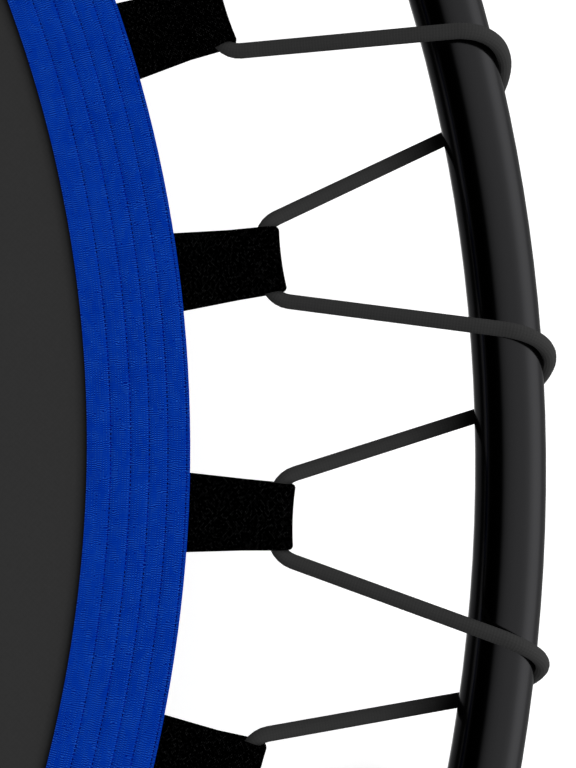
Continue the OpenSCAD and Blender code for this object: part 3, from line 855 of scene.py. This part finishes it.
def weld_bead(side):
    """Rippled weld along one face of a cheek, under the ring's tube."""
    side_view = [(TUBE_R + x, z) for x, z in circle_part((0, 0), BEAD_R, 0, BEAD_ROUND, 11)]
    span = 180 - 2 * (BEAD_SHORT + SEAT_HALF)
    shape = turned(side_view, closed=True, span=span, steps=88)
    bmesh.ops.holes_fill(shape, edges=[e for e in shape.edges if e.is_boundary], sides=0)
    for v in shape.verts:
        way = math.degrees(math.atan2(v.co.y, v.co.x)) % 360
        middle = Vector((v.co.x, v.co.y, 0)).normalized() * TUBE_R
        near_end = max(abs(way / span - 0.5) - (0.5 - TAPER_SHARE), 0) / TAPER_SHARE
        size = 1 + RIPPLE * math.sin(2 * math.pi * way / RIPPLE_PITCH) - TAPER * near_end
        v.co = middle + (v.co - middle) * size
    bmesh.ops.recalc_face_normals(shape, faces=shape.faces[:])
    lay = Matrix.Translation((0, side, 0)) @ Matrix.Rotation(math.radians(-90), 4, "X")
    return placed(shape, lay @ Matrix.Rotation(math.radians(BEAD_SHORT + SEAT_HALF), 4, "Z"))


def bracket(k):
    """Two cheeks and the stop for the open leg, welded under the ring."""
    whole = bmesh.new()
    at = CHEEK_IN + BRACKET_T / 2
    for side in (-1, 1):
        joined(whole, placed(cheek(), on_ring(leg_angle(k)) @ Matrix.Translation((0, side * at, 0))))
        for face in (CHEEK_IN, CHEEK_OUT):
            joined(whole, placed(weld_bead(side * face), on_ring(leg_angle(k))))
    joined(whole, placed(stop_plate(), on_leg(k)))
    piece(f"welded_bracket_{k}", whole, PAINT, "frame", [f"leg_bracket_{k}"])


# ---------- legs ----------

def knuckle(k):
    """Moulded knuckle: an eye on the pivot bolt, a neck with a groove and a spigot in the tube."""
    eye = turned(rounded([(0, -LEG_R), (LEG_R, -LEG_R), (LEG_R, LEG_R), (0, LEG_R)], EYE_EDGE_R), steps=64)
    placed(eye, Matrix.Rotation(math.radians(90), 4, "X"))
    groove_r = LEG_R - NECK_GROOVE
    groove = [(r, -NECK_L + above * NECK_GROOVE) for r, above in
              ((LEG_R, 4), (groove_r, 3.5), (groove_r, 2.5), (LEG_R, 2))]
    spigot = [(SPIGOT_R, -NECK_L), (SPIGOT_R, -NECK_L - SPIGOT_L), (0, -NECK_L - SPIGOT_L)]
    side = [(0, 0), (LEG_R, 0)] + groove + [(LEG_R, -NECK_L)] + spigot
    neck = turned(rounded(side, NECK_EDGE_R, steps=2), steps=64)
    piece(f"moulded_knuckle_{k}", placed(joined(eye, neck), on_leg(k)), NYLON, f"leg_{k}",
          [f"leg_knuckle_{k}"])


def leg_tube(k):
    """Straight steel tube from the knuckle's neck down into the foot."""
    top, low = -NECK_L, -LEG_L + FOOT_SOLE
    wall = rounded([(LEG_BORE_R, low), (LEG_R, low), (LEG_R, top), (LEG_BORE_R, top)], STEEL_EDGE_R,
                   steps=3, ends=True)
    shape = placed(turned(wall, closed=True, steps=64), on_leg(k))
    piece(f"straight_leg_{k}", shape, PAINT, f"leg_{k}", [f"leg_tube_{k}"])


def rivet(k):
    """Rivet through leg and knuckle, domed at both ends."""
    sunk = LEG_R - RIVET_SUNK
    head = [(r, LEG_R + z) for r, z in dome(RIVET_HEAD_R, RIVET_HEAD_H)]
    half = [(RIVET_HEAD_R / 2, sunk), (RIVET_HEAD_R, sunk)] + head
    outline = [(r, -z) for r, z in reversed(half)] + half
    shape = placed(turned(outline, steps=32), Matrix.Rotation(math.radians(90), 4, "Y"))
    placed(shape, on_leg(k) @ Matrix.Translation((0, 0, -RIVET_DROP)))
    piece(f"domed_rivet_{k}", shape, ZINC, f"leg_{k}", [f"leg_rivet_{k}"])


def foot(k):
    """Rubber foot pushed over the leg, ribbed round its side and cut level with the floor."""
    grip, bead, bore = FOOT_R - FOOT_GROOVE, FOOT_COLLAR_R + FOOT_GROOVE / 2, LEG_R + FOOT_FIT
    rib = [FOOT_RIB_AT + n * FOOT_GROOVE for n in range(4)]
    bead_top = FOOT_H - FOOT_BEAD_DROP
    side = [(0, -FOOT_R / 2), (FOOT_R, -FOOT_R / 2), (FOOT_R, rib[0]), (grip, rib[1]), (grip, rib[2]),
            (FOOT_R - FOOT_GROOVE / 2, rib[3]), (grip, FOOT_SHOULDER), (bead, bead_top - FOOT_BEAD_L),
            (bead, bead_top), (FOOT_COLLAR_R, FOOT_H), (bore, FOOT_H), (bore, FOOT_SOLE), (0, FOOT_SOLE)]
    shape = turned(rounded(side, FOOT_EDGE_R, steps=4), steps=72)
    placed(shape, on_leg(k) @ Matrix.Translation((0, 0, -LEG_L)))
    cut = bmesh.ops.bisect_plane(
        shape, geom=shape.verts[:] + shape.edges[:] + shape.faces[:], dist=1e-7,
        plane_co=(0, 0, 0), plane_no=(0, 0, 1), clear_inner=True,
    )["geom_cut"]
    rim = [g for g in cut if isinstance(g, bmesh.types.BMEdge)]
    bmesh.ops.edgeloop_fill(shape, edges=rim)
    bmesh.ops.bevel(shape, geom=[e for e in rim if e.is_valid], offset=SOLE_EDGE_R, offset_type="OFFSET",
                    segments=3, profile=0.5, affect="EDGES", clamp_overlap=True, material=-1)
    bmesh.ops.recalc_face_normals(shape, faces=shape.faces[:])
    piece(f"rubber_foot_{k}", shape, RUBBER, f"leg_{k}", [f"leg_foot_{k}"])


for k in range(1, LEG_COUNT + 1):
    bracket(k)
    knuckle(k)
    leg_tube(k)
    rivet(k)
    foot(k)


# ---------- mat and band ----------

def jumping_mat():
    """One flat disc of cloth, closed, with rings of points across it."""
    rings = 28
    top = [(MAT_R * i / rings, MAT_TOP) for i in range(rings + 1)]
    under = [(r, MAT_TOP - MAT_T) for r, _ in reversed(top)]
    shape = turned(top + under, steps=144)
    made = piece("mat_cloth", shape, MAT, stands_for=["jumping_mat"])
    blend_by_radius(made, BAND_IN_R, MAT_CENTRE_R)


ROW_SHARES = (0.23, 0.425, 0.605, 0.785, 0.968)
ROW_RADII = [BAND_IN_R + share * (BAND_OUT_R - BAND_IN_R) for share in ROW_SHARES]
SEAM_DEPTH = 0.15 * MM
SEAM_HALF_W = 0.6 * MM
PUFF = 0.15 * MM
# Under 1, the band is flatter between its seams than a sine and steeper beside them
PUFF_POWER = 0.6


def band_top(r):
    """Height of the band's upper side: soft between its seams and drawn down along them."""
    edges = [BAND_IN_R] + ROW_RADII
    low = max(e for e in edges if e <= r + 1e-9)
    high = min([e for e in ROW_RADII if e > low] + [BAND_OUT_R])
    share = (r - low) / max(high - low, 1e-9)
    puff = PUFF * math.sin(math.pi * min(max(share, 0), 1)) ** PUFF_POWER
    seam = sum(math.exp(-((r - row) / SEAM_HALF_W) ** 2) for row in ROW_RADII)
    return BAND_UNDER + BAND_T + puff - SEAM_DEPTH * min(seam, 1)


def edge_band():
    """Tape round the mat's rim, its upper side fine enough for the seams."""
    count = 96
    radii = [BAND_IN_R + (BAND_OUT_R - BAND_IN_R) * i / count for i in range(count + 1)]
    top = [(r, band_top(r)) for r in radii]
    under = [(r, BAND_UNDER) for r in reversed(radii)]
    shape = turned(top + under, closed=True, steps=360)
    made = piece("band_cloth", shape, BAND, "mat_rim", ["edge_band"])


STITCH_PITCH = 1.55 * MM
STITCH_L = 1.08 * MM
STITCH_W = 0.55 * MM
STITCH_H = 0.4 * MM
STITCH_RISE = 0.04 * MM


def stitch_row(n, radius):
    """A row of lockstitches, each one a short grain of thread."""
    shape = bmesh.new()
    bmesh.ops.create_icosphere(shape, subdivisions=1, radius=0.5)
    bmesh.ops.scale(shape, verts=shape.verts[:], vec=(STITCH_W, STITCH_L, STITCH_H))
    bmesh.ops.translate(shape, verts=shape.verts[:], vec=(radius, 0, band_top(radius) + STITCH_RISE))
    fill_circle(shape, math.degrees(STITCH_PITCH / radius))
    piece(f"stitch_row_{n}", shape, THREAD, "mat_rim")


jumping_mat()
edge_band()
for n, radius in enumerate(ROW_RADII, 1):
    stitch_row(n, radius)


# ---------- webbing loops ----------

def strap_side():
    """Side view of a loop: points of its outer and inner faces, out on top, round and back below."""
    # Steps of each stretch: sewn on the band, flat, tapered towards the cord and folded round it
    sewn, flat, tapered, folded = 2, 3, 5, 9
    taper_at = CHANNEL_AT - FOLD_TAPER
    sides = []
    for layer, fold_r in ((WEBBING_T, CHANNEL_R + WEBBING_T), (0, CHANNEL_R)):
        reach = math.hypot(FOLD_TAPER, layer)
        leave = math.atan2(layer, -FOLD_TAPER) - math.acos(fold_r / reach)
        tangent = (CHANNEL_AT + fold_r * math.cos(leave), fold_r * math.sin(leave))
        side = [(TAIL_IN_R + (BAND_OUT_R - TAIL_IN_R) * i / sewn, layer) for i in range(sewn)]
        side += [(BAND_OUT_R + (taper_at - BAND_OUT_R) * i / flat, layer) for i in range(flat)]
        for i in range(tapered):
            share = i / tapered
            side.append((taper_at + (tangent[0] - taper_at) * share, layer + (tangent[1] - layer) * share))
        for i in range(folded + 1):
            angle = leave * (1 - i / folded)
            side.append((CHANNEL_AT + fold_r * math.cos(angle), fold_r * math.sin(angle)))
        sides.append(side + [(x, -z) for x, z in reversed(side[:-1])])
    return sides


def loop_width(x):
    """Width of a loop at a radius: it narrows outwards and its outer corners are rounded."""
    share = min(max((x - BAND_OUT_R) / (LOOP_END_R - BAND_OUT_R), 0), 1)
    width = LOOP_W_IN + (LOOP_W_OUT - LOOP_W_IN) * share
    past = max(x - (LOOP_END_R - LOOP_CORNER_R), 0)
    return width - 2 * (LOOP_CORNER_R - math.sqrt(max(LOOP_CORNER_R ** 2 - past ** 2, 0)))


def one_loop():
    """A strap folded round the cord, drawn in a little at the middle of its fold."""
    shape = bmesh.new()
    outer, inner = (
        [shape.verts.new((x, -0.5, LOOP_PLANE + z)) for x, z in side] for side in strap_side()
    )
    corners = zip(outer, outer[1:], inner[1:], inner)
    faces = [shape.faces.new(four) for four in corners]
    across = 14
    for _ in range(across):
        grown = bmesh.ops.extrude_face_region(shape, geom=faces)["geom"]
        faces = [g for g in grown if isinstance(g, bmesh.types.BMFace)]
        moved = [g for g in grown if isinstance(g, bmesh.types.BMVert)]
        bmesh.ops.translate(shape, verts=moved, vec=(0, 1 / across, 0))
    for v in shape.verts:
        past = max(v.co.x - CHANNEL_AT, 0) / (LOOP_END_R - CHANNEL_AT)
        bow = FOLD_DRAWN_IN * past * (1 - (2 * v.co.y) ** 2)
        v.co.y *= loop_width(v.co.x)
        v.co.x -= bow
    bmesh.ops.recalc_face_normals(shape, faces=shape.faces[:])
    return shape


def webbing_loops(k):
    """The six loops from one leg to the next."""
    shape = one_loop()
    repeat_round(shape, LOOPS_PER_LEG, LOOP_PITCH)
    turn(shape, leg_angle(k))
    bmesh.ops.recalc_face_normals(shape, faces=shape.faces[:])
    made = piece(f"webbing_straps_{k}", shape, WEBBING, stands_for=[f"webbing_loops_{k}"])
    blend_by_radius(made, CORD_LEAVES_AT, BAND_OUT_R, taut=True)


for k in range(1, LEG_COUNT + 1):
    webbing_loops(k)


# ---------- elastic cord ----------

def beside_loop(angle, out, onward, z):
    """Point beside a loop: outward, towards the next loop, and its height over the ring's centre line."""
    c, s = math.cos(math.radians(angle)), math.sin(math.radians(angle))
    return Vector((out * c + onward * s, out * s - onward * c, RING_H + z))


def polar_point(angle, r, z):
    """Point at an angle and a radius, with its height over the ring's centre line."""
    return Vector((r * math.cos(math.radians(angle)), r * math.sin(math.radians(angle)), RING_H + z))


CHANNEL_DIST = math.hypot(RING_R - CORD_IN_LOOP, MAT_DROP)
CHANNEL_DIP = math.degrees(math.atan2(MAT_DROP, RING_R - CORD_IN_LOOP))
TANGENT = 90 - math.degrees(math.acos(WRAP_R / CHANNEL_DIST))
WRAP_FROM = -TANGENT - CHANNEL_DIP
WRAP_TO = 180 + TANGENT - CHANNEL_DIP
OVER_ANGLE = along_ring(CROSS_OVER)
UNDER_ANGLE = LOOP_PITCH - along_ring(CROSS_UNDER)
OVER_SLOPE = (OVER_ANGLE - along_ring(CORNER_OUT)) / (RING_R - CORD_IN_LOOP)
UNDER_SLOPE = (LOOP_PITCH - along_ring(CORNER_IN) - UNDER_ANGLE) / (RING_R - CORD_IN_LOOP)


def wrap_point(angle, s):
    """Point of the cord's turn round the tube, for a share s of the turn."""
    arc = WRAP_R * math.radians(WRAP_TO - WRAP_FROM)
    on = OVER_ANGLE + (UNDER_ANGLE - OVER_ANGLE) * s * s * (3 - 2 * s)
    on += s * (1 - s) ** 2 * arc * OVER_SLOPE - s * s * (1 - s) * arc * UNDER_SLOPE
    half_way = 16 * (s * (1 - s)) ** 2
    on -= along_ring(WRAP_LAG) * half_way
    w = math.radians(WRAP_FROM + (WRAP_TO - WRAP_FROM) * s)
    return polar_point(angle - on, RING_R + WRAP_R * math.sin(w), WRAP_R * math.cos(w))


def bend(corner, before, after, radius, steps=6):
    """Rounded corner at a point between two directions."""
    turned_by = before.angle(after)
    start = corner - radius * math.tan(turned_by / 2) * before
    side = (after - after.dot(before) * before).normalized()
    angles = [turned_by * i / steps for i in range(steps + 1)]
    return [start + radius * (math.sin(a) * before + (1 - math.cos(a)) * side) for a in angles]


def between(a, b, count):
    """Points that part a stretch into equal steps, without its ends."""
    return [a.lerp(b, i / count) for i in range(1, count)]


def lace(angle, strand_steps=8, loop_steps=3, wrap_steps=28):
    """One stretch of the cord: in beside a loop, through it, out and round the tube."""
    corner_in = beside_loop(angle, CORD_IN_LOOP, -CORNER_IN, -MAT_DROP)
    corner_out = beside_loop(angle, CORD_IN_LOOP, CORNER_OUT, -MAT_DROP)
    came_from = wrap_point(angle + LOOP_PITCH, 1)
    leaves_for = wrap_point(angle, 0)
    along = (corner_out - corner_in).normalized()
    first = bend(corner_in, (corner_in - came_from).normalized(), along, CORD_BEND_R)
    second = bend(corner_out, along, (leaves_for - corner_out).normalized(), CORD_BEND_R)
    wrap = [wrap_point(angle, i / wrap_steps) for i in range(wrap_steps + 1)]
    inward = between(came_from, first[0], strand_steps)
    outward = between(second[-1], wrap[0], strand_steps)
    return inward + first + between(first[-1], second[0], loop_steps) + second + outward + wrap


def swept(route, radius, sides=16):
    """Round cord along a closed route, with its length and its way round kept as a UV in metres."""
    count = len(route)
    ahead = [(route[(i + 1) % count] - route[i - 1]).normalized() for i in range(count)]
    shape = bmesh.new()
    side = Vector((0, 0, 1))
    rings = []
    for point, way in zip(route, ahead):
        side = (side - side.dot(way) * way).normalized()
        over = way.cross(side)
        turns = [2 * math.pi * j / sides for j in range(sides)]
        rings.append([shape.verts.new(point + radius * (math.cos(t) * side + math.sin(t) * over))
                      for t in turns])
    lay = shape.loops.layers.uv.new("UVMap")
    length = 0
    for i in range(count):
        step = (route[(i + 1) % count] - route[i]).length
        ring, following = rings[i], rings[(i + 1) % count]
        for j in range(sides):
            k = (j + 1) % sides
            face = shape.faces.new((ring[j], ring[k], following[k], following[j]))
            corners = ((length, j), (length, j + 1), (length + step, j + 1), (length + step, j))
            for loop, (u, v) in zip(face.loops, corners):
                loop[lay].uv = (u, v / sides * 2 * math.pi * radius)
        length += step
    return shape, length


def pressed_on_tube(shape):
    """Lays flat on the ring's tube what would stand inside it."""
    lift = TUBE_R + CORD_LIFT
    for v in shape.verts:
        out = math.hypot(v.co.x, v.co.y)
        away = math.hypot(out - RING_R, v.co.z - RING_H)
        if away < lift:
            share = lift / max(away, 1e-9)
            x = RING_R + (out - RING_R) * share
            v.co = (v.co.x * x / out, v.co.y * x / out, RING_H + (v.co.z - RING_H) * share)


def elastic_cord():
    """One unbroken cord, laced through every loop and round the ring."""
    route = [p for i in range(LOOP_COUNT) for p in lace(FIRST_CORD_LOOP - i * LOOP_PITCH)]
    shape, length = swept(route, CORD_R)
    pressed_on_tube(shape)
    bmesh.ops.recalc_face_normals(shape, faces=shape.faces[:])
    made = piece("laced_cord", shape, CORD, stands_for=["elastic_cord"])
    blend_by_radius(made, CORD_LEAVES_AT, BAND_OUT_R, taut=True)
    print(f"cord length {length:.3f} m")


def ferrule():
    """Crimped tube over the cord's two ends, with three pressed grooves."""
    start = wrap_point(FIRST_CORD_LOOP + LOOP_PITCH, 1)
    way = (beside_loop(FIRST_CORD_LOOP, CORD_IN_LOOP, -CORNER_IN, -MAT_DROP) - start).normalized()
    end = [(FERRULE_R - FERRULE_WALL, -FERRULE_L / 2), (FERRULE_R, -FERRULE_L / 2)]
    outline = list(end)
    for n in range(CRIMP_COUNT):
        at = CRIMP_PITCH * (n - (CRIMP_COUNT - 1) / 2)
        outline += [(FERRULE_R - depth, at + side * width / 2) for depth, side, width in
                    ((0, -1, CRIMP_W), (CRIMP_DEPTH, -1, CRIMP_FLOOR_W), (CRIMP_DEPTH, 1, CRIMP_FLOOR_W),
                     (0, 1, CRIMP_W))]
    outline += [(r, -z) for r, z in reversed(end)]
    shape = turned(rounded(outline, FERRULE_EDGE_R, steps=3, ends=True), closed=True)
    facing = Vector((0, 0, 1)).rotation_difference(way).to_matrix().to_4x4()
    placed(shape, Matrix.Translation(start + FERRULE_FROM_TUBE * way) @ facing)
    made = piece("crimped_ferrule", shape, ALUMINIUM, stands_for=["cord_ferrule"])
    blend_by_radius(made, CORD_LEAVES_AT, BAND_OUT_R, taut=True)


elastic_cord()
ferrule()


# ---------- sleeves carried over ----------

for k in range(1, TUBE_COUNT + 1):
    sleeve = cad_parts[f"joint_sleeve_{k}"]
    sleeve.data.materials.clear()
    sleeve.data.materials.append(ZINC)


# ---------- floor, light and camera ----------

FLOOR_GLOW = 0.46
FLOOR_R = 1.15
# Share of the floor's brightness that gloss sees, by X: a painted shade, seen only in reflections, under
# the mat, towards the dark wall and beside the ring
FLOOR_SHADE = [
    (-1.15, 0.36), (-0.75, 0.18), (-0.45, 0.03), (-0.05, 0.05), (0.06, 0.18), (0.2, 0.58), (0.36, 1.0),
    (0.64, 1.0), (0.7, 0.15), (0.8, 0.25), (0.95, 0.6), (1.15, 1.0),
]
# Brightness of the studio by the angle from straight up, which is positive towards +X
WALLS = [
    (-180, 0.0), (-104, 0.45), (-92, 0.45), (-85, 0.0), (-41, 0.0), (-28, 0.55), (-14, 0.82), (8, 1.0),
    (30, 1.08), (46, 1.3), (60, 2.0), (74, 2.4), (96, 2.4), (108, 1.5), (180, 1.0),
]
# What falls on dull surfaces comes to this share from those walls, and otherwise evenly from all round
DIFFUSE_WALLS = 0.8
DIFFUSE_LEVEL = 1.2
WHITE = (1, 1, 1, 1)


def seen_directly(tree, path):
    """1 for what the camera, gloss and glass see, and 0 for the rays that carry light."""
    either = add(tree, "Math", {0: path.outputs["Is Camera Ray"], 1: path.outputs["Is Glossy Ray"]},
                 operation="MAXIMUM")
    return add(tree, "Math", {0: either, 1: path.outputs["Is Transmission Ray"]}, operation="MAXIMUM")


def floor():
    """Pale floor that looks white where light falls and keeps the shadow of what stands on it."""
    shape = bmesh.new()
    bmesh.ops.create_circle(shape, cap_ends=True, segments=96, radius=FLOOR_R)
    finish, tree, shader = material("pale_floor", {
        "Roughness": 0.9, "Specular IOR Level": 0.0, "Emission Color": WHITE,
    })
    across = add(tree, "SeparateXYZ", {0: add(tree, "TexCoord").outputs["Object"]}).outputs["X"]
    path = add(tree, "LightPath")
    # Painted shade for gloss only: reflections see the floor darker by X, while the camera sees it evenly
    shade = add(tree, "Mix", {"Factor": path.outputs["Is Glossy Ray"], "A": 1.0,
                              "B": graded(tree, across, FLOOR_SHADE)})
    pale = add(tree, "Mix", {"Factor": shade, "A": linear("#000000"), "B": linear("#efefef")},
               data_type="RGBA")
    glow = add(tree, "Math", {0: seen_directly(tree, path), 1: FLOOR_GLOW}, operation="MULTIPLY")
    level = add(tree, "Math", {0: glow, 1: shade}, operation="MULTIPLY")
    plug(tree, shader, {"Base Color": pale, "Emission Strength": level})
    solid("floor", shape, finish)


def light():
    """Soft white studio round the object with a dark wall at -X and a bright one at +X."""
    world = bpy.data.worlds.new("studio")
    bpy.context.scene.world = world
    world.use_nodes = True
    tree = world.node_tree
    toward = add(tree, "SeparateXYZ", {0: add(tree, "TexCoord").outputs["Generated"]})
    lean = add(tree, "Math", {0: toward.outputs["X"], 1: toward.outputs["Z"]}, operation="ARCTAN2")
    top = max(level for _, level in WALLS)
    shares = graded(tree, lean, [(math.radians(angle), level / top) for angle, level in WALLS])
    walls = add(tree, "Math", {0: shares, 1: top}, operation="MULTIPLY")
    path = add(tree, "LightPath")
    part = add(tree, "MapRange", {"Value": path.outputs["Is Glossy Ray"], "To Min": DIFFUSE_WALLS})
    lit = add(tree, "Mix", {"Factor": part, "A": DIFFUSE_LEVEL, "B": walls})
    shown = add(tree, "Mix", {"Factor": path.outputs["Is Camera Ray"], "A": lit, "B": 1.0})
    plug(tree, tree.nodes["Background"], {"Color": WHITE, "Strength": shown})


CAMERA_AT = Vector((0.523136, -0.011680, 0.670793))
CAMERA_AIM = Vector((0.533023, 0.001060, 0.320))
CAMERA_TURN = math.radians(2.509)
LENS = 45.885


def camera():
    """Camera over the rim, looking down on it, its upper edge turned a little from +Y."""
    seen = bpy.data.cameras.new("camera")
    seen.lens = LENS
    seen.clip_start = 0.01
    made = bpy.data.objects.new("camera", seen)
    bpy.context.scene.collection.objects.link(made)
    ahead = (CAMERA_AIM - CAMERA_AT).normalized()
    right = ahead.cross(Vector((math.sin(CAMERA_TURN), math.cos(CAMERA_TURN), 0))).normalized()
    up = right.cross(ahead)
    made.matrix_world = Matrix((
        (right.x, up.x, -ahead.x, CAMERA_AT.x),
        (right.y, up.y, -ahead.y, CAMERA_AT.y),
        (right.z, up.z, -ahead.z, CAMERA_AT.z),
        (0, 0, 0, 1),
    ))
    bpy.context.scene.camera = made


floor()
light()
camera()
bpy.context.scene.view_settings.view_transform = "Standard"
